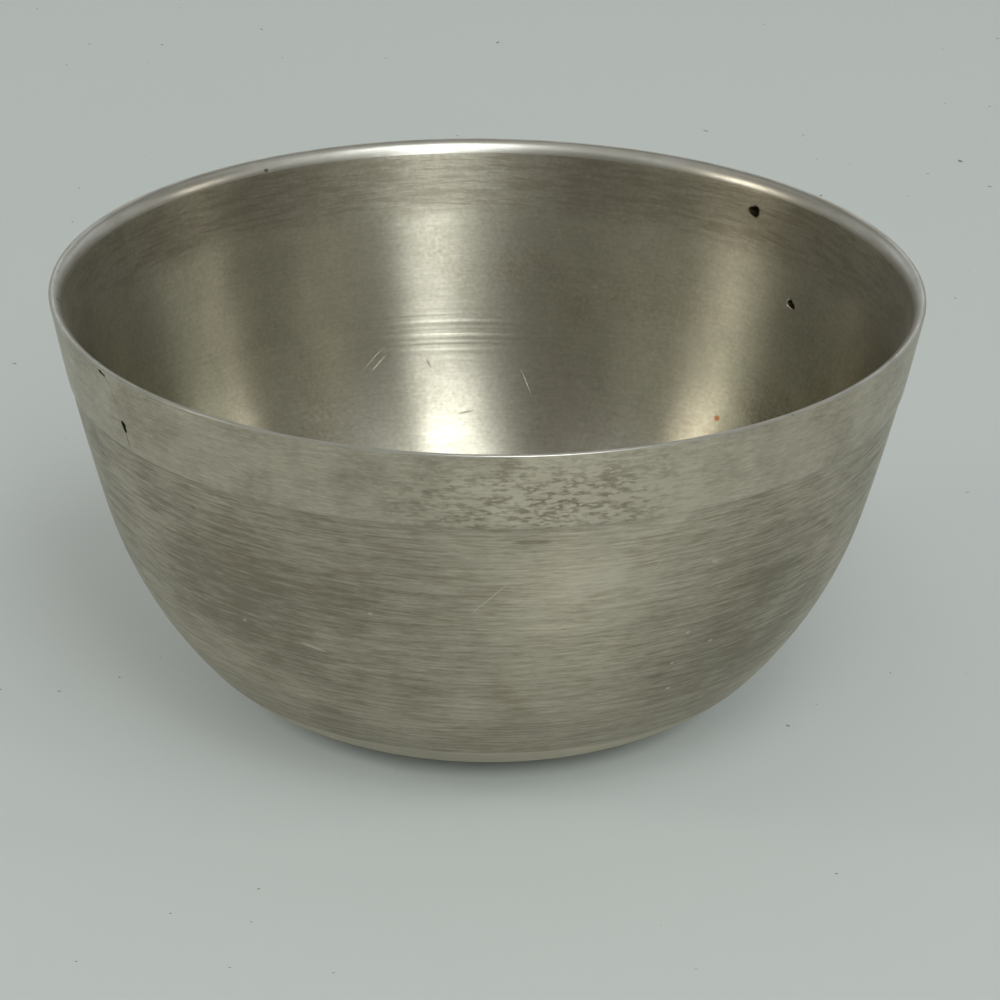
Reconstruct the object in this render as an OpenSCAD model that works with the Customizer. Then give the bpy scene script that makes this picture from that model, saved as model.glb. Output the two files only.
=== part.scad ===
// Offering bowl: one cast white bronze bowl, turned all over on a lathe.
// The section is a chain of round curves: a long wall, a tighter knee and a roll under to the flat.
// Origin: centre of the flat that the bowl stands on, +Z up along the bowl's axis.

/* [Bowl] */
// Diameter across the outside of the rim
rim_diameter = 100; // [94:1:110]
// Height from the flat to the top of the rim
bowl_height = 49; // [46:0.5:52]

/* [Wall] */
// Thickness of the metal from the rim down to the knee
wall_thickness = 1.4; // [1:0.1:2]
// Radius of the long curve of the wall, seen in section
wall_radius = 280; // [250:5:310]
// Radius of the tighter curve that turns the wall in, seen in section
knee_radius = 48; // [45:1:52]
// How far the wall has turned from upright where the knee takes over
knee_angle = 16; // [13:0.5:18]

/* [Rim] */
// Depth of the smooth band under the rim
band_depth = 9.2; // [5:0.1:13]
// How far the band stands out from the brushed wall under it
band_step = 0.15; // [0.05:0.05:0.4]
// How much further than the wall's thickness the round of the lip reaches, which leaves a fine crease
lip_crease = 0.05; // [0.02:0.01:0.12]

/* [Base] */
// Radius of the curve that rolls under to the flat, seen in section
base_radius = 21; // [18:0.5:23]
// How much the flat takes off that curve
flat_depth = 0.1; // [0.05:0.05:0.3]
// How far the outside has turned from upright at the turned line above the base
line_angle = 42.5; // [39:0.5:46]
// How sharply the outside breaks at that line
line_break = 3; // [1:0.5:6]
// Thickness of the metal in the middle of the floor
floor_thickness = 2; // [1.5:0.1:3]

/* [Hidden] */
$fn = 360;
// How far a cut or an open end runs past the metal
overrun = 1;
// How far a curve stands out where it merges into a larger one that it touches
merge = 0.002;

// The way that the outside faces, as radius and height, once it has turned this far from upright
function facing(turned) = [cos(turned), -sin(turned)];

// Distance from a curve's centre out to the curve, at a height above or below that centre
function reach(radius, rise) = sqrt(pow(radius, 2) - pow(rise, 2));

// Centres of the outside curves, first with the base curve's centre on the axis
base_z = base_radius - flat_depth;
line_from_base = base_radius * facing(line_angle + line_break);
knee_from_base = line_from_base - knee_radius * facing(line_angle);
wall_from_base = knee_from_base - (wall_radius - knee_radius) * facing(knee_angle);

// The band runs round the same centre as the wall, and the rim's size sets how wide the base is
band_radius = wall_radius + band_step;
rim_from_base = wall_from_base.x + reach(band_radius, bowl_height - base_z - wall_from_base.y);
base_centre = [rim_diameter / 2 - rim_from_base, base_z];
knee_centre = base_centre + knee_from_base;
wall_centre = base_centre + wall_from_base;

// Heights at which one outside curve hands over to the next
knee_z = knee_centre.y - knee_radius * sin(knee_angle);
band_z = bowl_height - band_depth;

// The base curve is cut up to midway between the two places where it crosses the knee
base_cut_angle = line_angle - line_break * base_radius / (knee_radius - base_radius);
base_cut_z = base_centre.y - base_radius * sin(base_cut_angle);

// The inside runs one wall thickness in from the outside, down to the knee
inner_wall_radius = band_radius - wall_thickness;
inner_knee_radius = inner_wall_radius - (wall_radius - knee_radius);
inner_knee_z = knee_centre.y - inner_knee_radius * sin(knee_angle);

// A curve as round as the outside one blends the inner knee into the flat floor
floor_centre_z = floor_thickness + base_z;
floor_drop = knee_centre.y - floor_centre_z;
floor_centre = [knee_centre.x + reach(inner_knee_radius - base_radius, floor_drop), floor_centre_z];
floor_join_z = floor_centre_z - base_radius * floor_drop / (inner_knee_radius - base_radius);

// The lip is rounded from the outer corner of the rim, where its top is, to the inside of the wall
lip_radius = wall_thickness + lip_crease;
lip_z = bowl_height - lip_radius;
lip_centre = [wall_centre.x + reach(band_radius, lip_z - wall_centre.y), lip_z];
lip_cut_z = lip_z + lip_radius * (wall_centre.y - lip_z) / band_radius;

// A round curve filled in as far as the axis, between two heights
module slice(centre, radius, low, high) {
    intersection() {
        translate(centre)
            circle(r = radius);
        translate([0, low])
            square([rim_diameter, high - low]);
    }
}

// What is turned away below the line, outside the base curve
module base_cut() {
    difference() {
        translate([0, -overrun])
            square([rim_diameter, overrun + base_cut_z]);
        translate([0, -overrun])
            square([base_centre.x, overrun + base_cut_z]);
        translate(base_centre)
            circle(r = base_radius);
    }
}

// What is turned away round the lip
module lip_cut() {
    difference() {
        translate([0, lip_cut_z])
            square([rim_diameter, bowl_height + overrun - lip_cut_z]);
        translate(lip_centre)
            circle(r = lip_radius);
    }
}

// Everything inside the outer surface
module outside_section() {
    slice(wall_centre, band_radius, band_z, bowl_height + overrun);
    slice(wall_centre, wall_radius, knee_z, bowl_height);
    slice(knee_centre, knee_radius + merge, 0, band_z);
}

// The hollow, open at the rim
module hollow_section() {
    slice(wall_centre, inner_wall_radius, inner_knee_z, bowl_height + overrun);
    slice(knee_centre, inner_knee_radius + merge, floor_join_z, band_z);
    slice(floor_centre, base_radius + merge, floor_thickness, inner_knee_z);
    translate([0, floor_thickness])
        square([floor_centre.x, inner_knee_z - floor_thickness]);
}

module bowl() {
    color([0.68, 0.66, 0.60])
        rotate_extrude()
            difference() {
                outside_section();
                base_cut();
                hollow_section();
                lip_cut();
            }
}

bowl();
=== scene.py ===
"""Offering bowl: one cast white bronze bowl, turned all over on a lathe, on a pale board under soft lamps."""

import math

import bpy
from mathutils import Matrix, Vector


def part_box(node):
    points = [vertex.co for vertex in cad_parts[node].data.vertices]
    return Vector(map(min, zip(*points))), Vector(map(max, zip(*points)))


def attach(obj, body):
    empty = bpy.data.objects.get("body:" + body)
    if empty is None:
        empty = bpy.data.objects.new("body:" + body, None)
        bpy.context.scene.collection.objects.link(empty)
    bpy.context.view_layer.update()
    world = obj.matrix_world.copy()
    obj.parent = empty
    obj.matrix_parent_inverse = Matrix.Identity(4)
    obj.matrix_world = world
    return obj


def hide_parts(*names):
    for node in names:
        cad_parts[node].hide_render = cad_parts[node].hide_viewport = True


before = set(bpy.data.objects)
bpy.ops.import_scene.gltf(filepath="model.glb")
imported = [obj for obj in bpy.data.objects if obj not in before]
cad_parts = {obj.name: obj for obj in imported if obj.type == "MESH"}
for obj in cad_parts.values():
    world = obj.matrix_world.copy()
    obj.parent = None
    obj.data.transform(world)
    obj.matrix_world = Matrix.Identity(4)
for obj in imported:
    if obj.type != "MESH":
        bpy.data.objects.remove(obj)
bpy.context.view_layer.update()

bl_info = {
    "name": "Offering bowl",
    "version": (1, 0, 0),
    "blender": (4, 5, 0),
    "location": "3D View > Sidebar > Offering bowl",
    "description": "Turns a small white bronze offering bowl and sets it in a plain studio",
    "category": "Add Mesh",
}

MM = 0.001
CAD_NODE = "bowl"
BODY = "root"
CAD_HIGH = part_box(CAD_NODE)[1]

# The stretches of the section with a finish of their own, from the middle of the floor round to the flat
FINISHES = ("inside", "lip", "band", "body", "base")

# Distance between points along each stretch of the section, and along the floor and the flat
ROW_STEP = {"inside": 0.38 * MM, "lip": 0.18 * MM, "band": 0.6 * MM, "body": 0.8 * MM, "base": 1.2 * MM}
FLOOR_STEP = 1.6 * MM
# How many times longer the step is where the inside turns into the floor, and at the knee inside,
# and how many times shorter on the worn edge of the lip
BLEND_COARSER = 2.5
KNEE_COARSER = 1.6
EASE_FINER = 3
# Angle between points round the bowl
COLUMN_STEP = math.radians(1.5)
# Both steps near a pit, along the section and round the bowl, and how far from the pit they are kept
PIT_ROW_STEP = 0.14 * MM
PIT_COLUMN_STEP = math.radians(0.2)
PIT_REACH = 0.9 * MM
# Further out, a step is at most this share of the way back to where the fine steps end
STEP_GROWTH = 0.35
# Points of the section that are closer than this count as one point
SAME_POINT = 0.001 * MM
# Distance over which the seam and the poles of the turned mesh are welded
WELD_DISTANCE = 0.002 * MM
# A turned mesh with fewer faces than this went wrong
FEWEST_FACES = 1000

# Height of the ripple that the lathe tool left in each finish, cut into the mesh
RIPPLE = {"inside": 0.006 * MM, "lip": 0.0, "band": 0.004 * MM, "body": 0.003 * MM, "base": 0.0}
# Distance round the bowl over which the ripple drifts, and the seed of its noise
RIPPLE_RUN = 30 * MM
RIPPLE_SEED = 7.0

# Casting pores and knocks: side of the wall, degrees round from +X, height, width, depth,
# and how far the pit runs on round the bowl and down the wall
PITS = (
    ("inside", 47.75, 45.2 * MM, 1.45 * MM, 0.80 * MM, 0.42 * MM, 0.0),
    ("inside", 37.4, 36.3 * MM, 0.85 * MM, 0.45 * MM, -0.7 * MM, 0.3 * MM),
    ("inside", 123.9, 47.9 * MM, 0.50 * MM, 0.10 * MM, 0.2 * MM, 0.0),
    ("outside", -148.0, 48.5 * MM, 0.45 * MM, 0.20 * MM, 0.9 * MM, 0.15 * MM),
    ("outside", -144.5, 43.0 * MM, 0.90 * MM, 0.30 * MM, 0.15 * MM, 0.7 * MM),
)
# A pit is drawn as this many hollows, and the last one is smaller than the first by this share
PIT_STEPS = 4
PIT_TAPER = 0.35

# Scratches, flecks and stains on each finish, where the bowl has been knocked and handled:
# degrees round from +X, height, length, width, and degrees by which the mark rises as it runs anticlockwise
INSIDE_SCRATCHES = (
    (109.4, 23.5 * MM, 4.1 * MM, 0.13 * MM, -39.7),
    (108.5, 22.9 * MM, 3.5 * MM, 0.12 * MM, -40.5),
    (83.2, 20.3 * MM, 3.8 * MM, 0.16 * MM, 62.4),
    (72.6, 32.3 * MM, 0.9 * MM, 0.6 * MM, 0.0),
)
INSIDE_STAINS = (
    (93.7, 16.8 * MM, 2.4 * MM, 0.3 * MM, -10.0),
    (99.9, 22.5 * MM, 1.5 * MM, 0.35 * MM, 65.0),
)
RED_SPOTS = (
    (46.8, 20.3 * MM, 1.1 * MM, 0.8 * MM, 0.0),
)
LIP_KNOCKS = (
    (-173.5, 48.6 * MM, 0.7 * MM, 0.5 * MM, 0.0),
    (-49.0, 48.7 * MM, 0.8 * MM, 0.3 * MM, 60.0),
)
BAND_SCRATCHES = (
    (-146.6, 47.9 * MM, 1.6 * MM, 0.26 * MM, -40.0),
    (-145.6, 46.2 * MM, 4.8 * MM, 0.14 * MM, -75.0),
    (-144.2, 41.3 * MM, 3.6 * MM, 0.32 * MM, -80.0),
)
BODY_SCRATCHES = (
    (-89.1, 30.6 * MM, 6.4 * MM, 0.16 * MM, 46.0),
    (-65.9, 33.7 * MM, 2.6 * MM, 0.2 * MM, 62.0),
    (-115.7, 21.2 * MM, 3.6 * MM, 0.5 * MM, -10.8),
    (-105.9, 27.4 * MM, 0.6 * MM, 0.4 * MM, 0.0),
    (-127.4, 22.4 * MM, 0.7 * MM, 0.4 * MM, 0.0),
    (-60.2, 18.7 * MM, 0.6 * MM, 0.4 * MM, 0.0),
    (-58.9, 14.5 * MM, 0.6 * MM, 0.4 * MM, 0.0),
    (-54.1, 20.7 * MM, 0.8 * MM, 0.4 * MM, 0.0),
    (-59.0, 22.9 * MM, 0.6 * MM, 0.4 * MM, 0.0),
    (-57.1, 32.1 * MM, 1.1 * MM, 0.5 * MM, -34.0),
)
BODY_STAINS = (
    (-132.5, 35.9 * MM, 0.9 * MM, 0.5 * MM, 0.0),
    (-84.0, 37.9 * MM, 5.0 * MM, 0.8 * MM, 0.0),
)
# How far a mark reaches into the metal, which keeps it off the far side of the bowl
MARK_DEPTH = 3 * MM

# Where the lathe tool chattered, in the same words as the marks
CHATTERED = (
    (98.0, 26.0 * MM, 26.0 * MM, 8.0 * MM, 0.0),
)
# Painted highlight: where the outside of the band and body is drawn paler, as the metal looks where it
# catches the light, in the same words as the marks
PAINTED_HIGHLIGHT = (
    (-71.0, 31.0 * MM, 34.0 * MM, 62.0 * MM, 0.0),
    (-75.0, 44.0 * MM, 50.0 * MM, 16.0 * MM, 0.0),
)
# Where the brushed body is drawn darker
DARKENED = (
    (-50.0, 22.0 * MM, 42.0 * MM, 34.0 * MM, 0.0),
    (-126.0, 27.0 * MM, 36.0 * MM, 26.0 * MM, 0.0),
)
# Where the stains on the band are thickest
SOILED = (
    (-83.0, 42.5 * MM, 42.0 * MM, 17.0 * MM, 0.0),
)
# How far those patches reach to both sides of their middle, which takes in the curve of the wall
PATCH_DEPTH = 12 * MM
# Size of the waves in the edge of a ragged stretch
RAGGED_SIZE = 5 * MM


def length_setting(label, default, description):
    """A length among the add-on's settings."""
    return bpy.props.FloatProperty(
        name=label, description=description, default=default, unit="LENGTH", subtype="DISTANCE")


def angle_setting(label, degrees, description):
    """An angle among the add-on's settings, given in degrees."""
    return bpy.props.FloatProperty(
        name=label, description=description, default=math.radians(degrees), unit="ROTATION", subtype="ANGLE")


def linear(code):
    """An sRGB hex colour as Blender's linear red, green, blue and a full alpha."""
    parts = [int(code[i:i + 2], 16) / 255 for i in (1, 3, 5)]
    return tuple(c / 12.92 if c <= 0.04045 else ((c + 0.055) / 1.055) ** 2.4 for c in parts) + (1.0,)


def colour_setting(label, code, description):
    """A colour among the add-on's settings, given as an sRGB hex colour."""
    return bpy.props.FloatVectorProperty(
        name=label, description=description, default=linear(code), size=4, subtype="COLOR", min=0, max=1)


class BowlSizes(bpy.types.PropertyGroup):
    """Sizes of the bowl, as its section is drawn for the lathe."""

    rim_diameter: length_setting(
        "Rim diameter", 2 * max(CAD_HIGH.x, CAD_HIGH.y), "Across the outside of the rim")
    height: length_setting("Height", CAD_HIGH.z, "From the flat that it stands on to the top of the rim")
    wall: length_setting("Wall", 1.4 * MM, "Thickness of the metal from the rim down to the knee")
    wall_curve: length_setting(
        "Wall curve", 280 * MM, "Radius of the long curve of the wall, seen in section")
    knee_curve: length_setting("Knee curve", 48 * MM, "Radius of the tighter curve that turns the wall in")
    knee_angle: angle_setting(
        "Knee angle", 16, "How far the wall has turned from upright where the knee takes over")
    band_depth: length_setting("Band depth", 9.2 * MM, "Depth of the smooth band under the rim")
    band_step: length_setting(
        "Band step", 0.15 * MM, "How far the band stands out from the brushed wall under it")
    lip_land: length_setting("Lip land", 0.1 * MM, "Width of the level part along the top of the lip")
    lip_top: length_setting(
        "Lip top", 1.2 * MM, "Radius of the round that turns down from there towards the inside")
    lip_bevel: length_setting(
        "Lip bevel", 2.6 * MM, "Radius of the flatter round that falls on to the inside wall")
    lip_turn: angle_setting(
        "Lip turn", 47, "How far the lip has turned down from level where that flatter round starts")
    lip_ease: length_setting("Lip ease", 0.12 * MM, "Radius of the worn outer edge of the lip")
    base_curve: length_setting("Base curve", 21 * MM, "Radius of the curve that rolls under to the flat")
    flat_depth: length_setting("Flat depth", 0.1 * MM, "How much the flat takes off that curve")
    line_angle: angle_setting(
        "Line angle", 42.5, "How far the outside has turned at the turned line above the base")
    line_break: angle_setting("Line break", 3, "How sharply the outside breaks at that line")
    floor: length_setting("Floor", 2 * MM, "Thickness of the metal in the middle of the floor")
    ripple_pitch: length_setting(
        "Ripple pitch", 1.5 * MM, "Distance between the ripples that the lathe tool left")


class BowlColours(bpy.types.PropertyGroup):
    """Colours of the metal and of the studio."""

    wiped: colour_setting(
        "Wiped metal", "#D4D6D2", "White bronze of the lip, where hands and cloths keep it bright")
    yellowed: colour_setting(
        "Yellowed metal", "#CCCBBE", "White bronze inside the bowl under a thin yellow tarnish")
    dimmed: colour_setting(
        "Dimmed metal", "#A2A193", "White bronze inside and on the lip under a thin grey tarnish")
    # Clean metal also shows in the painted highlight down the front of the band and body
    clean: colour_setting("Clean metal", "#D3CBB9", "White bronze outside, where it is rubbed bright")
    aged: colour_setting(
        "Aged metal", "#928D7E", "White bronze outside, and in strokes inside, under a thicker grey tarnish")
    browned: colour_setting(
        "Browned metal", "#94876F", "White bronze in patches and scratches under a yellow-brown tarnish")
    grime: colour_setting("Grime", "#2E281C", "Dark oxide and old polish held in pits and scratches")
    stain: colour_setting("Stain", "#665C4A", "Dark brown-grey stains on the band under the rim")
    red_spot: colour_setting("Red spot", "#A67450", "A dried red speck inside the bowl")
    board: colour_setting("Board", "#B0B8B7", "The pale painted board that the bowl stands on")
    speck: colour_setting("Speck", "#757873", "Dust and small dents on the board")
    room: colour_setting("Room", "#78746A", "The dim room that the metal mirrors")


def add(tree, kind, inputs=None, **settings):
    """Adds a node with its settings.

    An input takes a value, a socket, or a node, which stands for its first enabled output.
    """
    made = tree.nodes.new(kind)
    for name, value in settings.items():
        setattr(made, name, value)
    for key, value in (inputs or {}).items():
        if isinstance(value, bpy.types.Node):
            value = next(socket for socket in value.outputs if socket.enabled)
        if isinstance(value, bpy.types.NodeSocket):
            tree.links.new(value, made.inputs[key])
        else:
            made.inputs[key].default_value = value
    return made


def on_round(centre, radius, angle):
    """A point of a round of the section, at an angle up from straight out."""
    return centre + radius * Vector((math.cos(angle), math.sin(angle)))


def facing(turned):
    """The way that the outside faces, as radius and height, once it has turned this far from upright."""
    return Vector((math.cos(turned), -math.sin(turned)))


def angle_of(point, centre):
    """Angle of a point of the section about a centre, up from straight out."""
    return math.atan2(point.y - centre.y, point.x - centre.x)


def crossing(centre, radius, other, other_radius):
    """The higher of the two places where one round of the section crosses another."""
    apart = other - centre
    along = (apart.length ** 2 + radius ** 2 - other_radius ** 2) / (2 * apart.length)
    aside = math.sqrt(radius ** 2 - along ** 2)
    step = apart.normalized()
    found = [centre + step * along + Vector((-step.y, step.x)) * aside * sign for sign in (1, -1)]
    return max(found, key=lambda point: point.y)


def bowl_stretches(s):
    """The section: from the middle of the floor, up the inside, over the lip and down to the flat's middle.

    A round is (finish, step, centre, radius, first angle, last angle).
    A straight is (finish, step, start, end).
    """
    band_radius = s.wall_curve + s.band_step
    base_z = s.base_curve - s.flat_depth
    knee_from_base = s.base_curve * facing(s.line_angle + s.line_break) - s.knee_curve * facing(s.line_angle)
    wall_from_base = knee_from_base - (s.wall_curve - s.knee_curve) * facing(s.knee_angle)
    rise = s.height - base_z - wall_from_base.y
    base_r = s.rim_diameter / 2 - wall_from_base.x - math.sqrt(band_radius ** 2 - rise ** 2)
    base_centre = Vector((base_r, base_z))
    knee_centre = base_centre + knee_from_base
    wall_centre = base_centre + wall_from_base

    inner_wall = band_radius - s.wall
    inner_knee = inner_wall - (s.wall_curve - s.knee_curve)
    floor_z = s.floor + base_z
    drop = knee_centre.y - floor_z
    floor_centre = Vector((knee_centre.x + math.sqrt((inner_knee - s.base_curve) ** 2 - drop ** 2), floor_z))
    floor_join = angle_of(floor_centre, knee_centre)

    ease_z = s.height - s.lip_ease
    ease_reach = math.sqrt((band_radius - s.lip_ease) ** 2 - (ease_z - wall_centre.y) ** 2)
    ease_centre = Vector((wall_centre.x + ease_reach, ease_z))
    up = math.radians(90)
    lip_centre = Vector((ease_centre.x - s.lip_land, s.height - s.lip_top))
    bevel_centre = on_round(lip_centre, s.lip_top - s.lip_bevel, up + s.lip_turn)
    lip_foot = crossing(bevel_centre, s.lip_bevel, wall_centre, inner_wall)

    band_low = math.asin((s.height - s.band_depth - wall_centre.y) / band_radius)
    body_high = math.asin((s.height - s.band_depth - s.band_step - wall_centre.y) / s.wall_curve)
    flat_edge = -math.asin(base_z / s.base_curve)
    step = ROW_STEP
    return (
        ("inside", FLOOR_STEP, Vector((0, s.floor)), on_round(floor_centre, s.base_curve, flat_edge)),
        ("inside", BLEND_COARSER * step["inside"], floor_centre, s.base_curve, flat_edge, floor_join),
        ("inside", KNEE_COARSER * step["inside"], knee_centre, inner_knee, floor_join, -s.knee_angle),
        ("inside", step["inside"], wall_centre, inner_wall, -s.knee_angle, angle_of(lip_foot, wall_centre)),
        ("lip", step["lip"], bevel_centre, s.lip_bevel, angle_of(lip_foot, bevel_centre), up + s.lip_turn),
        ("lip", step["lip"], lip_centre, s.lip_top, up + s.lip_turn, up),
        ("lip", step["lip"], on_round(lip_centre, s.lip_top, up), on_round(ease_centre, s.lip_ease, up)),
        ("lip", step["lip"] / EASE_FINER, ease_centre, s.lip_ease, up, angle_of(ease_centre, wall_centre)),
        ("band", step["band"], wall_centre, band_radius, angle_of(ease_centre, wall_centre), band_low),
        ("body", step["body"], wall_centre, s.wall_curve, body_high, -s.knee_angle),
        ("body", step["body"], knee_centre, s.knee_curve, -s.knee_angle, -s.line_angle),
        ("base", step["base"], base_centre, s.base_curve, -s.line_angle - s.line_break, flat_edge),
        ("base", FLOOR_STEP, on_round(base_centre, s.base_curve, flat_edge), Vector((0, 0))),
    )


def graded(length, coarse, fine, places):
    """Distances from 0 to a length: coarse steps, which narrow to fine ones near each place."""
    marks = [0.0]
    while marks[-1] < length:
        clear = min((abs(marks[-1] - place) - PIT_REACH for place in places), default=length)
        marks.append(marks[-1] + min(coarse, max(fine, STEP_GROWTH * clear)))
    marks.pop()
    if len(marks) > 1 and length - marks[-1] < fine / 2:
        marks.pop()
    return marks + [length]


def section_points(sizes):
    """The section's points, each (radius, height, finish, distance from the middle of the floor)."""
    points, travelled = [], 0.0
    for finish, step, first, *rest in bowl_stretches(sizes):
        if len(rest) == 1:
            length = (rest[0] - first).length
            marks = graded(length, step, step, ())
            here = [first.lerp(rest[0], mark / length) for mark in marks]
        else:
            radius, start, end = rest
            length = radius * abs(end - start)
            turn = math.copysign(1 / radius, end - start)
            side = "inside" if finish == "inside" else "outside"
            heights = [pit[2] - run * pit[6] for pit in PITS if pit[0] == side for run in (0, 1)]
            sines = [(height - first.y) / radius for height in heights]
            along = [(math.asin(sine) - start) / turn for sine in sines if abs(sine) < 1]
            marks = graded(length, step, min(step, PIT_ROW_STEP), [x for x in along if 0 <= x <= length])
            here = [on_round(first, radius, start + turn * mark) for mark in marks]
        points += [(p.x, p.y, finish, travelled + mark) for p, mark in zip(here, marks)]
        travelled += length
    points[0] = (0.0, *points[0][1:])
    points[-1] = (0.0, 0.0, *points[-1][2:])
    # Where two stretches meet, the point of the second one stays, because it carries the finish that follows
    apart = [math.dist(p[:2], q[:2]) > SAME_POINT for p, q in zip(points, points[1:])]
    return [p for p, clear in zip(points, apart + [True]) if clear]


def ring_angles(rim_radius):
    """Angles round the bowl at which the section is repeated, closer together near the pits."""
    places = [math.radians(pit[1]) % math.tau for pit in PITS]
    marks = [0.0]
    while marks[-1] < math.tau:
        clear = min(abs(marks[-1] - place) - PIT_REACH / rim_radius for place in places)
        marks.append(marks[-1] + min(COLUMN_STEP, max(PIT_COLUMN_STEP, STEP_GROWTH * clear)))
    marks.pop()
    return marks + [math.tau]


def wall_radius_at(points, side, height):
    """Radius of the inside or outside surface at a height."""
    top = max(range(len(points)), key=lambda i: points[i][1])
    sided = points[:top + 1] if side == "inside" else points[top:]
    a, b = next((a, b) for a, b in zip(sided, sided[1:])
                if min(a[1], b[1]) <= height <= max(a[1], b[1]) and a[1] != b[1])
    return a[0] + (b[0] - a[0]) * (height - a[1]) / (b[1] - a[1])


def pit_points(points):
    """Each pit as a short row of (place, width, depth), on the surface that it is in."""
    found = []
    for side, degrees, height, width, depth, run_round, run_down in PITS:
        for i in range(PIT_STEPS):
            share = i / (PIT_STEPS - 1)
            level = height - share * run_down
            radius = wall_radius_at(points, side, level)
            angle = math.radians(degrees) + share * run_round / radius
            place = Vector((radius * math.cos(angle), radius * math.sin(angle), level))
            taper = 1 - PIT_TAPER * share
            found.append((place, width * taper, depth * taper))
    return found


def points_object(name, places, **layers):
    """A scratch object of loose points, with one attribute for each named list of values."""
    mesh = bpy.data.meshes.new(name)
    mesh.from_pydata(places, [], [])
    for layer, values in layers.items():
        kind = "INT" if isinstance(values[0], int) else "FLOAT"
        mesh.attributes.new(layer, kind, "POINT").data.foreach_set("value", values)
    made = bpy.data.objects.new(name, mesh)
    bpy.context.scene.collection.objects.link(made)
    return made


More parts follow.
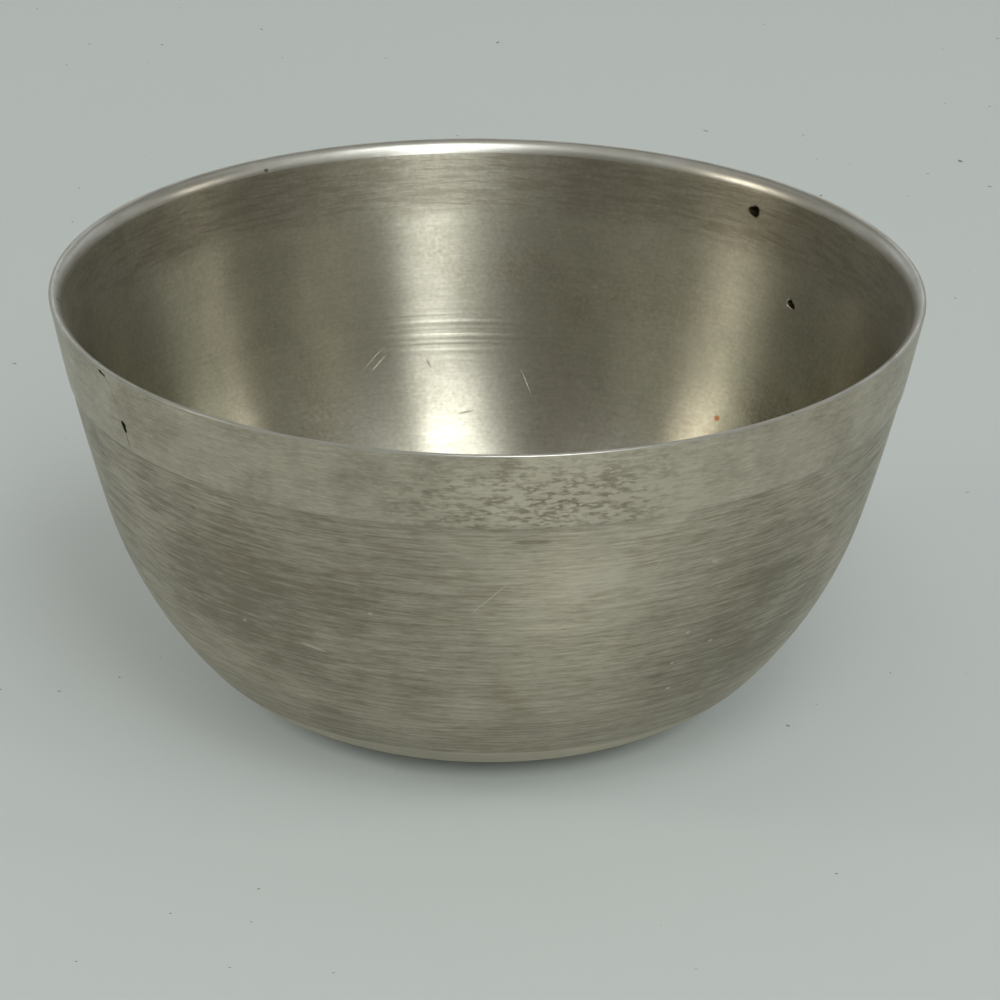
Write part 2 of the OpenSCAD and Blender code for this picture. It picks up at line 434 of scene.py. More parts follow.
def turning_tree(materials):
    """Geometry Nodes that turn the section round the axis, cut ripples and pits, and set each finish."""
    tree = bpy.data.node_groups.new("turned_bowl", "GeometryNodeTree")
    for name, kind in (
        ("Section", "NodeSocketGeometry"), ("Ring", "NodeSocketObject"), ("Pits", "NodeSocketObject"),
        ("Rows", "NodeSocketInt"), ("Columns", "NodeSocketInt"), ("Ripple pitch", "NodeSocketFloat"),
        ("Ripple run", "NodeSocketFloat"), ("Weld distance", "NodeSocketFloat"), ("Seed", "NodeSocketFloat"),
    ):
        tree.interface.new_socket(name, in_out="INPUT", socket_type=kind)
    tree.interface.new_socket("Bowl", in_out="OUTPUT", socket_type="NodeSocketGeometry")
    given = add(tree, "NodeGroupInput").outputs
    section, columns = given["Section"], given["Columns"]
    ring = add(tree, "GeometryNodeObjectInfo", {"Object": given["Ring"]}).outputs["Geometry"]
    pits = add(tree, "GeometryNodeObjectInfo", {"Object": given["Pits"]}).outputs["Geometry"]
    position = add(tree, "GeometryNodeInputPosition")
    index = add(tree, "GeometryNodeInputIndex")

    # A flat net with a row for each point of the section and a column for each place round the ring
    net = add(tree, "GeometryNodeMeshGrid", {0: 1.0, 1: 1.0, 2: given["Rows"], 3: columns})
    row = add(tree, "FunctionNodeIntegerMath", {0: index, 1: columns}, operation="DIVIDE_FLOOR")
    column = add(tree, "FunctionNodeIntegerMath", {0: index, 1: columns}, operation="MODULO")
    outline = add(tree, "GeometryNodeSampleIndex", {0: section, 1: position, 2: row},
                  data_type="FLOAT_VECTOR")
    heading = add(tree, "GeometryNodeSampleIndex", {0: ring, 1: position, 2: column},
                  data_type="FLOAT_VECTOR")
    split = add(tree, "ShaderNodeSeparateXYZ", {0: outline}).outputs
    outward = add(tree, "ShaderNodeVectorMath", {0: heading, "Scale": split["X"]}, operation="SCALE")
    raised = add(tree, "ShaderNodeCombineXYZ", {"Z": split["Z"]})
    place = add(tree, "ShaderNodeVectorMath", {0: outward, 1: raised}, operation="ADD")
    bowl = add(tree, "GeometryNodeSetPosition", {"Geometry": net, "Position": place})
    for layer in ("along", "ripple"):
        written = add(tree, "GeometryNodeInputNamedAttribute", {"Name": layer}, data_type="FLOAT")
        value = add(tree, "GeometryNodeSampleIndex", {0: section, 1: written, 2: row}, data_type="FLOAT")
        bowl = add(tree, "GeometryNodeStoreNamedAttribute", {0: bowl, 2: layer, 3: value}, data_type="FLOAT")
    faces_round = add(tree, "FunctionNodeIntegerMath", {0: columns, 1: 1}, operation="SUBTRACT")
    face_row = add(tree, "FunctionNodeIntegerMath", {0: index, 1: faces_round}, operation="DIVIDE_FLOOR")
    finish = add(tree, "GeometryNodeInputNamedAttribute", {"Name": "finish"}, data_type="INT")
    face_finish = add(tree, "GeometryNodeSampleIndex", {0: section, 1: finish, 2: face_row}, data_type="INT")
    bowl = add(tree, "GeometryNodeStoreNamedAttribute", {0: bowl, 2: "finish", 3: face_finish},
               data_type="INT", domain="FACE")
    bowl = add(tree, "GeometryNodeMergeByDistance", {0: bowl, 2: given["Weld distance"]})

    # Ripples follow the distance along the section and hardly change round the bowl
    drift = add(tree, "ShaderNodeVectorMath", {0: position, 1: given["Ripple run"]}, operation="DIVIDE")
    level = add(tree, "ShaderNodeVectorMath", {0: drift, 1: (1.0, 1.0, 0.0)}, operation="MULTIPLY")
    along = add(tree, "GeometryNodeInputNamedAttribute", {"Name": "along"}, data_type="FLOAT")
    pitches = add(tree, "ShaderNodeMath", {0: along, 1: given["Ripple pitch"]}, operation="DIVIDE")
    lift = add(tree, "ShaderNodeCombineXYZ", {"Z": pitches})
    track = add(tree, "ShaderNodeVectorMath", {0: level, 1: lift}, operation="ADD")
    wave = add(tree, "ShaderNodeTexNoise", {"Vector": track, "W": given["Seed"], "Scale": 1.0, "Detail": 1.0},
               noise_dimensions="4D")
    centred = add(tree, "ShaderNodeMath", {0: wave, 1: 0.5}, operation="SUBTRACT")
    tall = add(tree, "GeometryNodeInputNamedAttribute", {"Name": "ripple"}, data_type="FLOAT")
    ripple = add(tree, "ShaderNodeMath", {0: centred, 1: tall}, operation="MULTIPLY")

    # Each hollow is deepest at its point, and level with the wall again at half its width from there
    nearest = add(tree, "GeometryNodeSampleNearest", {0: pits, 1: position})
    pit_place = add(tree, "GeometryNodeSampleIndex", {0: pits, 1: position, 2: nearest},
                    data_type="FLOAT_VECTOR")
    width = add(tree, "GeometryNodeInputNamedAttribute", {"Name": "width"}, data_type="FLOAT")
    pit_width = add(tree, "GeometryNodeSampleIndex", {0: pits, 1: width, 2: nearest}, data_type="FLOAT")
    depth = add(tree, "GeometryNodeInputNamedAttribute", {"Name": "depth"}, data_type="FLOAT")
    pit_depth = add(tree, "GeometryNodeSampleIndex", {0: pits, 1: depth, 2: nearest}, data_type="FLOAT")
    gap = add(tree, "ShaderNodeVectorMath", {0: position, 1: pit_place}, operation="DISTANCE")
    share = add(tree, "ShaderNodeMath", {0: gap, 1: pit_width}, operation="DIVIDE")
    square = add(tree, "ShaderNodeMath", {0: share, 1: share}, operation="MULTIPLY")
    hollow = add(tree, "ShaderNodeMath", {0: square, 1: -4.0, 2: 1.0}, operation="MULTIPLY_ADD",
                 use_clamp=True)
    cut = add(tree, "ShaderNodeMath", {0: hollow, 1: pit_depth}, operation="MULTIPLY")
    bowl = add(tree, "GeometryNodeStoreNamedAttribute", {0: bowl, 2: "pit", 3: hollow}, data_type="FLOAT")
    normal = add(tree, "GeometryNodeInputNormal")
    lifted = add(tree, "ShaderNodeMath", {0: ripple, 1: cut}, operation="SUBTRACT")
    offset = add(tree, "ShaderNodeVectorMath", {0: normal, "Scale": lifted}, operation="SCALE")
    bowl = add(tree, "GeometryNodeSetPosition", {"Geometry": bowl, "Offset": offset})
    bowl = add(tree, "GeometryNodeSetShadeSmooth", {0: bowl})
    bowl = add(tree, "GeometryNodeRealizeInstances", {0: bowl})
    for number, material in enumerate(materials):
        here = add(tree, "FunctionNodeCompare", {2: finish, 3: number}, data_type="INT", operation="EQUAL")
        bowl = add(tree, "GeometryNodeSetMaterial", {0: bowl, 1: here, 2: material})
    add(tree, "NodeGroupOutput", {0: bowl})
    return tree


def plain_mesh(host, name):
    """The evaluated mesh of an object, as a plain mesh of its own."""
    depsgraph = bpy.context.evaluated_depsgraph_get()
    evaluated = host.evaluated_get(depsgraph)
    mesh = bpy.data.meshes.new_from_object(evaluated, preserve_all_data_layers=True, depsgraph=depsgraph)
    mesh.name = name
    return mesh


class Finish:
    """A white bronze surface: a metal shader, and patterns from 0 to 1 that its finish is built from."""

    def __init__(self, name, side, points, anisotropy):
        self.material = bpy.data.materials.new(name)
        self.material.use_nodes = True
        self.tree = self.material.node_tree
        self.tree.nodes.clear()
        self.side, self.points = side, points
        self.place = add(self.tree, "ShaderNodeTexCoord").outputs["Object"]
        self.height = add(self.tree, "ShaderNodeSeparateXYZ", {0: self.place}).outputs["Z"]
        self.along = add(self.tree, "ShaderNodeAttribute", attribute_name="along").outputs["Fac"]
        self.pit = add(self.tree, "ShaderNodeAttribute", attribute_name="pit").outputs["Fac"]
        tangent = add(self.tree, "ShaderNodeTangent", direction_type="RADIAL", axis="Z")
        # The marks of turning run round the bowl, so light spreads across them, up and down the wall
        self.shader = add(self.tree, "ShaderNodeBsdfPrincipled", {
            "Metallic": 1.0, "Anisotropic": anisotropy, "Anisotropic Rotation": 0.25, "Tangent": tangent})
        add(self.tree, "ShaderNodeOutputMaterial", {"Surface": self.shader})

    def tracks(self, length, pitch, detail, seed):
        """Soft noise drawn out round the bowl to about a length, with a pitch along the section."""
        drawn = add(self.tree, "ShaderNodeMapping", {
            "Vector": self.place, "Scale": (1 / length, 1 / length, 0.0)})
        level = add(self.tree, "ShaderNodeMath", {0: self.along, 1: 1 / pitch}, operation="MULTIPLY")
        lift = add(self.tree, "ShaderNodeCombineXYZ", {"Z": level})
        track = add(self.tree, "ShaderNodeVectorMath", {0: drawn, 1: lift}, operation="ADD")
        return add(self.tree, "ShaderNodeTexNoise",
                   {"Vector": track, "W": seed, "Scale": 1.0, "Detail": detail, "Roughness": 0.6},
                   noise_dimensions="4D")

    def streaks(self, length, pitch, low=0.3, high=0.7, detail=3.0, seed=0.0):
        """Marks that run round the bowl for about a length, a pitch apart along the section."""
        soft = self.tracks(length, pitch, detail, seed)
        return add(self.tree, "ShaderNodeMapRange", {0: soft, 1: low, 2: high})

    def worms(self, length, pitch, width, detail=2.0, seed=0.0):
        """Thin lines that wander like worms: where soft streaks pass through half their strength."""
        soft = self.tracks(length, pitch, detail, seed)
        centred = add(self.tree, "ShaderNodeMath", {0: soft, 1: 0.5}, operation="SUBTRACT")
        away = add(self.tree, "ShaderNodeMath", {0: centred}, operation="ABSOLUTE")
        return add(self.tree, "ShaderNodeMapRange", {0: away, 1: width, 2: width / 3})

    def clouds(self, size, low=0.3, high=0.7, detail=3.0, seed=0.0):
        """Even patches of about a size."""
        noise = add(self.tree, "ShaderNodeTexNoise",
                    {"Vector": self.place, "W": seed, "Scale": 1 / size, "Detail": detail},
                    noise_dimensions="4D")
        return add(self.tree, "ShaderNodeMapRange", {0: noise, 1: low, 2: high})

    def stretch(self, low, high, fade, ragged=0.0):
        """The part between two heights, fading out over a distance, with an edge that wanders."""
        wander = add(self.tree, "ShaderNodeTexNoise", {
            "Vector": self.place, "Scale": 1 / RAGGED_SIZE, "Detail": 3.0})
        height = add(self.tree, "ShaderNodeMath", {0: wander, 1: ragged, 2: self.height},
                     operation="MULTIPLY_ADD")
        rise = add(self.tree, "ShaderNodeMapRange", {0: height, 1: low - fade, 2: low})
        fall = add(self.tree, "ShaderNodeMapRange", {0: height, 1: high + fade, 2: high})
        return add(self.tree, "ShaderNodeMath", {0: rise, 1: fall}, operation="MULTIPLY")

    def marks(self, places, depth=MARK_DEPTH, sharp=0.5):
        """Scratches, flecks and patches, strongest in the middle and gone at the edge."""
        total = 0.0
        for degrees, height, length, width, rise in places:
            radius = wall_radius_at(self.points, self.side, height)
            angle = math.radians(degrees)
            near = add(self.tree, "ShaderNodeMapping", {
                "Vector": self.place,
                "Location": (radius * math.cos(angle), radius * math.sin(angle), height),
                "Rotation": (0.0, -math.radians(rise), angle + math.radians(90)),
                "Scale": (length / 2, depth, width / 2)}, vector_type="TEXTURE")
            away = add(self.tree, "ShaderNodeVectorMath", {0: near}, operation="LENGTH")
            mark = add(self.tree, "ShaderNodeMapRange", {0: away, 1: 1.0, 2: sharp})
            total = add(self.tree, "ShaderNodeMath", {0: mark, 1: total}, operation="MAXIMUM")
        return total

    def product(self, total, *patterns):
        """Where several patterns are all strong."""
        for pattern in patterns:
            total = add(self.tree, "ShaderNodeMath", {0: total, 1: pattern}, operation="MULTIPLY")
        return total

    def together(self, *layers):
        """Patterns added up, each by its weight."""
        total = 0.0
        for pattern, weight in layers:
            total = add(self.tree, "ShaderNodeMath", {0: pattern, 1: weight, 2: total},
                        operation="MULTIPLY_ADD")
        return total

    def colour(self, ground, *coats):
        """Base colour: a ground, and coats laid over one another, each with the share in which it covers."""
        for share, coat in coats:
            laid = add(self.tree, "ShaderNodeMix", {0: share, 6: ground, 7: coat}, data_type="RGBA")
            ground = laid.outputs[2]
        self.tree.links.new(ground, self.shader.inputs["Base Color"])

    def dull(self, smooth, rough, pattern):
        """Roughness: smooth where a pattern is 0, rough where it is 1."""
        spread = add(self.tree, "ShaderNodeMapRange", {0: pattern, 3: smooth, 4: rough})
        self.tree.links.new(spread.outputs[0], self.shader.inputs["Roughness"])

    def relief(self, *layers):
        """Bump, from patterns and the height of each in metres."""
        height = self.together(*layers)
        bump = add(self.tree, "ShaderNodeBump", {"Strength": 1.0, "Distance": 1.0, "Height": height})
        self.tree.links.new(bump.outputs[0], self.shader.inputs["Normal"])


def turned_inside(colours, points):
    """White bronze turned with a round-nosed tool and lightly polished.

    To the eye it is smooth, with fine rings that draw every lamp out into an upright stripe. The wall grows
    duller towards the top, which was left rough, and half way down the tool chattered.
    """
    f = Finish("white_bronze_turned_inside", "inside", points, anisotropy=0.85)
    rings = f.streaks(12 * MM, 0.55 * MM)
    # The real tool marks are about 0.1 mm apart, and are drawn coarser to show at all
    fine = f.streaks(1.2 * MM, 0.28 * MM, seed=3.0)
    grain = f.clouds(0.5 * MM, seed=2.0)
    patches = f.clouds(6 * MM, low=0.35, high=0.65, detail=5.0)
    brown = f.clouds(16 * MM, low=0.5, high=0.75, seed=9.0)
    top = f.stretch(low=43.2 * MM, high=48 * MM, fade=2.6 * MM, ragged=2.4 * MM)
    upper = add(f.tree, "ShaderNodeMapRange", {0: f.height, 1: 26 * MM, 2: 44 * MM})
    strokes = f.product(top, f.streaks(5 * MM, 0.6 * MM, low=0.45, high=0.6, seed=4.0))
    ridges = f.streaks(26 * MM, 0.7 * MM, low=0.35, high=0.65, detail=0.0, seed=8.0)
    chatter = f.product(f.marks(CHATTERED, depth=6 * MM, sharp=0.4), ridges)
    stains = f.marks(INSIDE_STAINS)
    scratches = f.marks(INSIDE_SCRATCHES)
    dirt = add(f.tree, "ShaderNodeMapRange", {0: f.pit, 1: 0.02, 2: 0.2})
    tarnish = f.together(
        (patches, 0.3), (rings, 0.15), (grain, 0.35), (fine, 0.3), (top, 0.2), (strokes, 0.12),
        (stains, 0.6), (scratches, -0.2))
    roughened = f.together((top, 0.24), (strokes, 0.3))
    f.colour(
        colours.yellowed, (tarnish, colours.dimmed), (roughened, colours.aged),
        (f.product(brown, patches, grain), colours.browned),
        (f.marks(RED_SPOTS), colours.red_spot), (dirt, colours.grime))
    worn = f.together(
        (upper, 0.12), (top, 0.28), (patches, 0.08), (grain, 0.04), (fine, 0.04),
        (stains, 0.35), (scratches, 0.3))
    # Below a roughness of about 0.275 the renderer takes metal for a mirror and leaves more noise in it
    f.dull(smooth=0.278, rough=0.72, pattern=worn)
    f.relief(
        (rings, 0.0025 * MM), (fine, 0.0030 * MM), (grain, 0.0020 * MM), (chatter, 0.030 * MM),
        (strokes, 0.016 * MM), (scratches, 0.006 * MM))
    return f.material


def polished_lip(colours, points):
    """White bronze worn to a satin polish by hands and cloths, under a thin grey tarnish."""
    f = Finish("white_bronze_polished_lip", "outside", points, anisotropy=0.3)
    patches = f.clouds(4 * MM)
    rings = f.streaks(9 * MM, 0.4 * MM)
    fine = f.streaks(1.5 * MM, 0.2 * MM, seed=3.0)
    knocks = f.marks(LIP_KNOCKS)
    dirt = add(f.tree, "ShaderNodeMapRange", {0: f.pit, 1: 0.02, 2: 0.2})
    tarnish = f.together((patches, 0.3), (rings, 0.2), (fine, 0.2), (knocks, 0.3))
    f.colour(
        colours.wiped, (tarnish, colours.dimmed),
        (f.product(knocks, patches), colours.grime), (f.product(dirt, 0.6), colours.grime))
    f.dull(smooth=0.29, rough=0.37, pattern=f.together((patches, 0.5), (fine, 0.5)))
    f.relief((rings, 0.0010 * MM), (fine, 0.0005 * MM), (knocks, -0.03 * MM))
    return f.material


def scuffed_band(colours, points):
    """White bronze scuffed smooth along the outside of the rim.

    To the eye it is paler and smoother than the body below it, with small dark stains like worms, and a
    painted highlight down its front.
    """
    f = Finish("white_bronze_scuffed_band", "outside", points, anisotropy=0.6)
    rings = f.streaks(6 * MM, 0.5 * MM)
    fine = f.streaks(1.2 * MM, 0.22 * MM, seed=3.0)
    patches = f.clouds(6 * MM, low=0.4, high=0.6)
    worms = f.worms(2.1 * MM, 0.85 * MM, width=0.11, seed=5.0)
    blots = f.streaks(2.2 * MM, 0.6 * MM, low=0.41, high=0.56, seed=6.0)
    soiled = f.marks(SOILED, depth=PATCH_DEPTH, sharp=0.2)
    stained = f.product(worms, blots, f.together((soiled, 0.9), (patches, 0.25)))
    scratches = f.marks(BAND_SCRATCHES)
    # Painted highlight: a patch down the front where the tarnish is taken off, so the band is drawn paler
    # there
    painted_highlight = f.marks(PAINTED_HIGHLIGHT, depth=PATCH_DEPTH, sharp=0.0)
    dirt = add(f.tree, "ShaderNodeMapRange", {0: f.pit, 1: 0.04, 2: 0.25})
    tarnish = f.together((rings, 0.25), (fine, 0.35), (patches, 0.2), (painted_highlight, -0.7))
    browned = f.together((fine, 0.15), (patches, 0.1))
    f.colour(
        colours.clean, (tarnish, colours.aged), (browned, colours.browned),
        (f.product(stained, 0.6), colours.stain), (scratches, colours.browned), (dirt, colours.grime))
    f.dull(smooth=0.34, rough=0.48, pattern=f.together((rings, 0.4), (stained, 0.6), (scratches, 0.5)))
    f.relief((rings, 0.002 * MM), (fine, 0.002 * MM), (stained, -0.006 * MM), (scratches, -0.02 * MM))
    return f.material


def brushed_body(colours, points):
    """White bronze brushed with coarse grit on the lathe: short dark and pale strokes round the bowl."""
    f = Finish("white_bronze_brushed_body", "outside", points, anisotropy=0.7)
    # The real strokes are a few hundredths of a millimetre wide, and are drawn coarser to show
    strokes = f.streaks(3.0 * MM, 0.26 * MM, low=0.38, high=0.62, detail=2.0)
    long_strokes = f.streaks(12 * MM, 0.4 * MM, low=0.4, high=0.6, detail=2.0, seed=7.0)
    fine = f.streaks(1.0 * MM, 0.18 * MM, seed=2.0)
    patches = f.clouds(10 * MM)
    brown = f.clouds(5 * MM, low=0.35, high=0.7, seed=9.0)
    scratches = f.marks(BODY_SCRATCHES)
    stains = f.marks(BODY_STAINS)
    # Painted highlight: a patch down the front where the tarnish is taken off, so the body is drawn paler
    # there
    painted_highlight = f.marks(PAINTED_HIGHLIGHT, depth=PATCH_DEPTH, sharp=0.0)
    darkened = f.marks(DARKENED, depth=PATCH_DEPTH, sharp=0.0)
    tarnish = f.together(
        (strokes, 0.24), (long_strokes, 0.24), (fine, 0.3), (patches, 0.42), (darkened, 0.4),
        (painted_highlight, -0.5), (scratches, -1.2), (stains, 0.5))
    browned = f.together((f.product(brown, strokes), 0.4), (brown, 0.1))
    f.colour(colours.clean, (tarnish, colours.aged), (browned, colours.browned))
    brushed = f.together((strokes, 0.35), (long_strokes, 0.2), (scratches, 0.6))
    f.dull(smooth=0.36, rough=0.62, pattern=brushed)
    f.relief(
        (strokes, 0.002 * MM), (long_strokes, 0.002 * MM), (fine, 0.002 * MM), (scratches, -0.008 * MM))
    return f.material


def turned_base(colours, points):
    """White bronze cut clean where the bowl rolls under: smooth, with faint rings on the flat."""
    f = Finish("white_bronze_turned_base", "outside", points, anisotropy=0.7)
    rings = f.streaks(20 * MM, 0.8 * MM)
    patches = f.clouds(8 * MM, low=0.35, high=0.65)
    fine = f.streaks(2 * MM, 0.25 * MM, seed=2.0)
    flat = f.stretch(low=-1 * MM, high=0.5 * MM, fade=1 * MM)
    scuffs = f.product(f.clouds(2 * MM, low=0.5, high=0.65, seed=4.0), flat)
    tarnish = f.together((rings, 0.2), (patches, 0.2), (fine, 0.2), (scuffs, 0.3))
    f.colour(colours.clean, (tarnish, colours.aged))
    f.dull(smooth=0.4, rough=0.6, pattern=f.together((rings, 0.4), (scuffs, 0.4)))
    f.relief((rings, 0.002 * MM), (fine, 0.001 * MM), (scuffs, -0.006 * MM))
    return f.material


class OFFERINGBOWL_OT_bowl(bpy.types.Operator):
    """Turn the bowl from its section and give each part of it its finish"""

    bl_idname = "offeringbowl.bowl"
    bl_label = "Turn the bowl"

    def execute(self, context):
        sizes, colours = context.scene.bowl_sizes, context.scene.bowl_colours
        points = section_points(sizes)
        angles = ring_angles(sizes.rim_diameter / 2)
        pits = pit_points(points)
        finishes = (turned_inside, polished_lip, scuffed_band, brushed_body, turned_base)
        materials = [finish(colours, points) for finish in finishes]
        host = points_object(
            "section", [(p[0], 0.0, p[1]) for p in points], along=[p[3] for p in points],
            ripple=[RIPPLE[p[2]] for p in points], finish=[FINISHES.index(p[2]) for p in points])
        ring = points_object("ring", [(math.cos(a), math.sin(a), 0.0) for a in angles])
        marks = points_object(
            "pits", [p[0] for p in pits], width=[p[1] for p in pits], depth=[p[2] for p in pits])
        modifier = host.modifiers.new("turning", "NODES")
        modifier.node_group = turning_tree(materials)
        wanted = {
            "Ring": ring, "Pits": marks, "Rows": len(points), "Columns": len(angles),
            "Ripple pitch": sizes.ripple_pitch, "Ripple run": RIPPLE_RUN, "Weld distance": WELD_DISTANCE,
            "Seed": RIPPLE_SEED,
        }
        for item in modifier.node_group.interface.items_tree:
            if item.in_out == "INPUT" and item.name in wanted:
                modifier[item.identifier] = wanted[item.name]
        mesh = plain_mesh(host, "turned_bowl")
        bowl = bpy.data.objects.new("turned_bowl", mesh)
        context.scene.collection.objects.link(bowl)
        for scratch in (host, ring, marks):
            bpy.data.objects.remove(scratch)
        if len(mesh.polygons) < FEWEST_FACES:
            raise RuntimeError("the bowl came out with no surface")
        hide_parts(CAD_NODE)
        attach(bowl, BODY)
        return {"FINISHED"}


# The camera: where it stands and what it looks at, and the tilt of the hand that held it
CAMERA_PLACE = Vector((0.0, -532.9, 255.0)) * MM
CAMERA_AIM = Vector((1.73, 0.0, 22.16)) * MM
CAMERA_ROLL = math.radians(0.763)
# Length of the lens and width of the sensor in millimetres, and the nearest and furthest that it sees
CAMERA_LENS = 180.0
CAMERA_SENSOR = 36.0
CAMERA_NEAR = 0.01
CAMERA_FAR = 20.0

# Lamps: name, degrees round from the camera towards +X, degrees up, distance, width, height, level, colour
LAMPS = (
    ("window_high", 13.2, 44, 1.2, 0.34, 0.68, 3.9, "#FFFFFC"),
    ("window_low", 18.0, 15, 1.2, 0.25, 0.40, 4.9, "#FFFFFC"),
    ("window_side", 24.5, 42, 1.2, 0.05, 0.6, 2.0, "#FFFFFC"),
    ("curtain", -3.5, 34, 1.2, 0.10, 0.6, 0.3, "#E2E8F4"),
    ("warm_lamp", -75, 29, 1.2, 0.14, 0.20, 5.0, "#FFF2E0"),
    ("warm_bright_lamp", -83, 29, 1.2, 0.09, 0.13, 24.0, "#FFF2E0"),
    ("warm_far_lamp", 92, 26, 1.2, 0.10, 0.12, 14.0, "#FFF4E6"),
    ("left_wall", -58, 45, 1.2, 0.42, 0.60, 0.34, "#F6F8F8"),
    ("right_wall", 58, 45, 1.2, 0.75, 0.70, 0.42, "#F6F8F8"),
    ("left_corner", -130, 24, 1.3, 1.0, 0.6, 0.29, "#F0F4F8"),
    ("right_corner", 130, 24, 1.3, 1.0, 0.6, 0.32, "#F0F4F8"),
    ("back_left", 199, 22, 1.5, 0.85, 0.50, 0.40, "#E8F0F8"),
    ("back_right", 163, 22, 1.5, 0.90, 0.50, 0.40, "#E8F0F8"),
    ("back_strip", 179.2, 23, 1.5, 0.05, 0.30, 2.5, "#FFFAF0"),
    ("skylight", 20, 64, 1.5, 0.8, 0.50, 3.0, "#FFFFFC"),
    ("ceiling", 0, 88, 1.5, 2.4, 2.4, 0.27, "#FAFAFC"),
)

# How far the board reaches to each side of the bowl
BOARD_REACH = 3.0
# Sizes of the roller's nap, the specks of dust and the waves in the board, then heights of nap and waves
BOARD_NAP = 1.6 * MM
BOARD_DUST = 1.8 * MM
BOARD_WAVE = 35 * MM
NAP_HEIGHT = 0.01 * MM
WAVE_HEIGHT = 0.3 * MM
# Levels of the dust's noise between which a speck appears
SPECK_START = 0.785
SPECK_END = 0.795
# Strength of the board's glow, and how far from the middle it sets in and is full where the camera sees it;
# nearer in, the missing glow is a painted contact shadow
BOARD_GLOW = 0.31
CONTACT_START = 23.5 * MM
CONTACT_END = 28 * MM


def painted_board(colours):
    """Board with matt emulsion paint: pale blue-grey, with a faint roller texture and specks of dust.

    It glows a little for the camera and in the metal, which keeps the shadow as soft as in a bright room.
    For the camera the glow stops under the bowl, which paints a dark contact shadow where the two meet.
    """
    material = bpy.data.materials.new("painted_board")
    material.use_nodes = True
    tree = material.node_tree
    tree.nodes.clear()
    place = add(tree, "ShaderNodeTexCoord").outputs["Object"]
    nap = add(tree, "ShaderNodeTexNoise", {"Vector": place, "Scale": 1 / BOARD_NAP, "Detail": 3.0})
    dust = add(tree, "ShaderNodeTexNoise", {"Vector": place, "Scale": 1 / BOARD_DUST, "Detail": 1.0})
    specks = add(tree, "ShaderNodeMapRange", {0: dust, 1: SPECK_START, 2: SPECK_END})
    colour = add(tree, "ShaderNodeMix", {0: specks, 6: colours.board, 7: colours.speck},
                 data_type="RGBA")
    waves = add(tree, "ShaderNodeTexNoise", {"Vector": place, "Scale": 1 / BOARD_WAVE, "Detail": 2.0})
    wave_height = add(tree, "ShaderNodeMath", {0: waves, 1: WAVE_HEIGHT}, operation="MULTIPLY")
    height = add(tree, "ShaderNodeMath", {0: nap, 1: NAP_HEIGHT, 2: wave_height}, operation="MULTIPLY_ADD")
    bump = add(tree, "ShaderNodeBump", {"Strength": 1.0, "Distance": 1.0, "Height": height})
    rays = add(tree, "ShaderNodeLightPath").outputs
    # Near the bowl the camera sees no glow: a painted contact shadow
    away = add(tree, "ShaderNodeVectorMath", {0: place}, operation="LENGTH")
    clear = add(tree, "ShaderNodeMapRange", {0: away, 1: CONTACT_START, 2: CONTACT_END})
    seen = add(tree, "ShaderNodeMath", {0: rays["Is Camera Ray"], 1: clear}, operation="MULTIPLY")
    seen = add(tree, "ShaderNodeMath", {0: seen, 1: rays["Is Glossy Ray"]}, operation="MAXIMUM")
    seen = add(tree, "ShaderNodeMath", {0: seen, 1: rays["Is Transmission Ray"]}, operation="MAXIMUM")
    glow = add(tree, "ShaderNodeMath", {0: seen, 1: BOARD_GLOW}, operation="MULTIPLY")
    shader = add(tree, "ShaderNodeBsdfPrincipled", {
        "Base Color": colour, "Roughness": 0.7, "Normal": bump,
        "Emission Color": colour, "Emission Strength": glow})
    add(tree, "ShaderNodeOutputMaterial", {"Surface": shader})
    return material


def look_at(place, aim, roll=0.0):
    """Where a lamp or camera stands, turned to face a point, then rolled."""
    turn = (aim - place).to_track_quat("-Z", "Y").to_matrix().to_4x4()
    return Matrix.Translation(place) @ turn @ Matrix.Rotation(roll, 4, "Z")


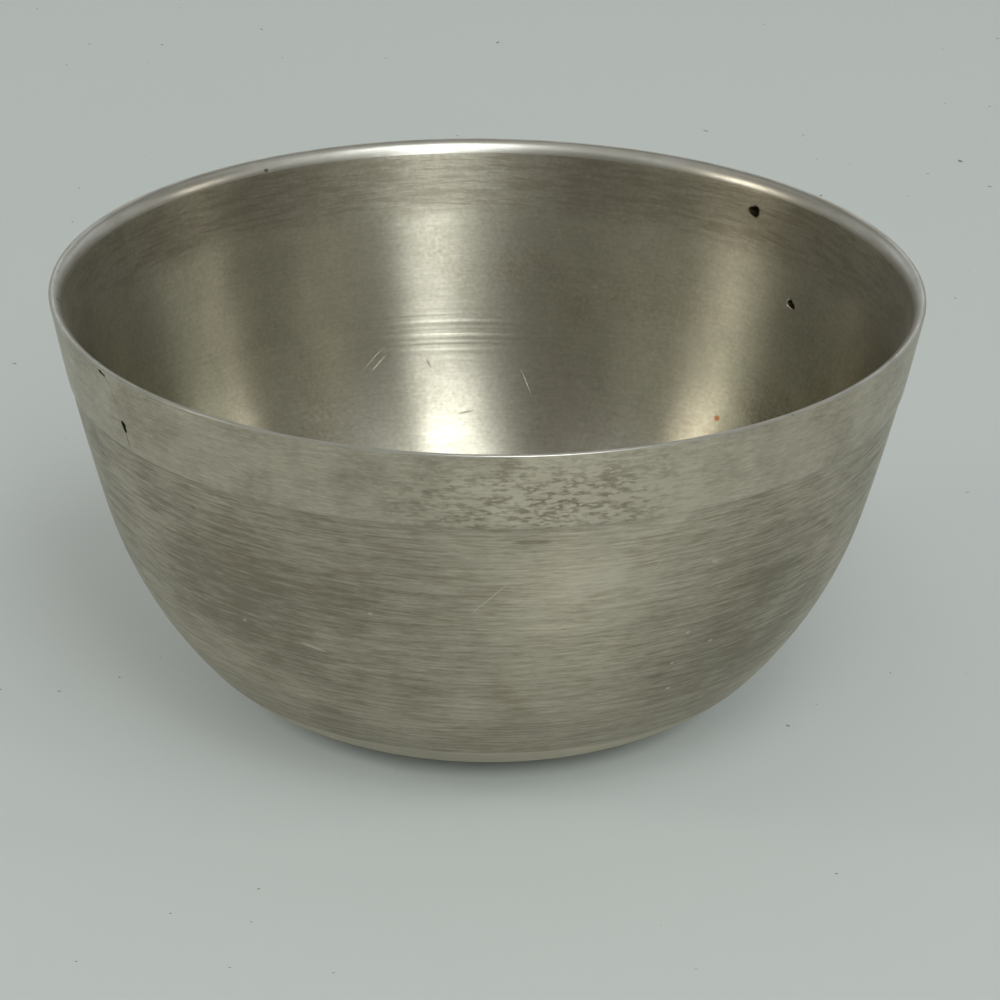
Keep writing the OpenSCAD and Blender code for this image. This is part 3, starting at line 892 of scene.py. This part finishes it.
class OFFERINGBOWL_OT_studio(bpy.types.Operator):
    """Lay the pale board, hang the lamps and set the camera"""

    bl_idname = "offeringbowl.studio"
    bl_label = "Set the studio"

    def execute(self, context):
        scene, colours = context.scene, context.scene.bowl_colours
        corners = [(-1, -1), (1, -1), (1, 1), (-1, 1)]
        mesh = bpy.data.meshes.new("board")
        mesh.from_pydata([(x * BOARD_REACH, y * BOARD_REACH, 0) for x, y in corners], [], [(0, 1, 2, 3)])
        mesh.materials.append(painted_board(colours))
        board = bpy.data.objects.new("board", mesh)
        scene.collection.objects.link(board)

        middle = Vector((0, 0, CAD_HIGH.z / 2))
        for name, azimuth, elevation, distance, width, height, level, colour in LAMPS:
            light = bpy.data.lights.new(name, "AREA")
            light.shape = "RECTANGLE"
            light.size, light.size_y = width, height
            light.color = linear(colour)[:3]
            # An area lamp of this power looks as bright as a white surface at that level
            light.energy = level * math.pi * width * height
            lamp = bpy.data.objects.new(name, light)
            around, up = math.radians(azimuth), math.radians(elevation)
            away = Vector((math.sin(around) * math.cos(up), -math.cos(around) * math.cos(up), math.sin(up)))
            lamp.matrix_world = look_at(middle + distance * away, middle)
            scene.collection.objects.link(lamp)

        world = bpy.data.worlds.new("room")
        world.use_nodes = True
        world.node_tree.nodes.clear()
        room = add(world.node_tree, "ShaderNodeBackground", {"Color": colours.room, "Strength": 1.0})
        add(world.node_tree, "ShaderNodeOutputWorld", {"Surface": room})
        scene.world = world

        lens = bpy.data.cameras.new("camera")
        lens.sensor_width, lens.lens = CAMERA_SENSOR, CAMERA_LENS
        lens.clip_start, lens.clip_end = CAMERA_NEAR, CAMERA_FAR
        camera = bpy.data.objects.new("camera", lens)
        camera.matrix_world = look_at(CAMERA_PLACE, CAMERA_AIM, CAMERA_ROLL)
        scene.collection.objects.link(camera)
        scene.camera = camera
        scene.view_settings.view_transform = "Standard"
        return {"FINISHED"}


class OFFERINGBOWL_PT_panel(bpy.types.Panel):
    """The bowl's sizes and colours, and the buttons that make it"""

    bl_idname = "OFFERINGBOWL_PT_panel"
    bl_label = "Offering bowl"
    bl_space_type = "VIEW_3D"
    bl_region_type = "UI"
    bl_category = "Offering bowl"

    def draw(self, context):
        scene = context.scene
        for group in (scene.bowl_sizes, scene.bowl_colours):
            column = self.layout.column()
            for name in group.bl_rna.properties.keys():
                if name not in ("rna_type", "name"):
                    column.prop(group, name)
        for operator in OPERATORS:
            self.layout.operator(operator.bl_idname)


OPERATORS = (OFFERINGBOWL_OT_bowl, OFFERINGBOWL_OT_studio)
CLASSES = (BowlSizes, BowlColours, *OPERATORS, OFFERINGBOWL_PT_panel)


def register():
    for cls in CLASSES:
        bpy.utils.register_class(cls)
    bpy.types.Scene.bowl_sizes = bpy.props.PointerProperty(type=BowlSizes)
    bpy.types.Scene.bowl_colours = bpy.props.PointerProperty(type=BowlColours)


def unregister():
    del bpy.types.Scene.bowl_colours
    del bpy.types.Scene.bowl_sizes
    for cls in reversed(CLASSES):
        bpy.utils.unregister_class(cls)


def main():
    register()
    bpy.ops.offeringbowl.bowl()
    bpy.ops.offeringbowl.studio()


if __name__ == "__main__":
    main()
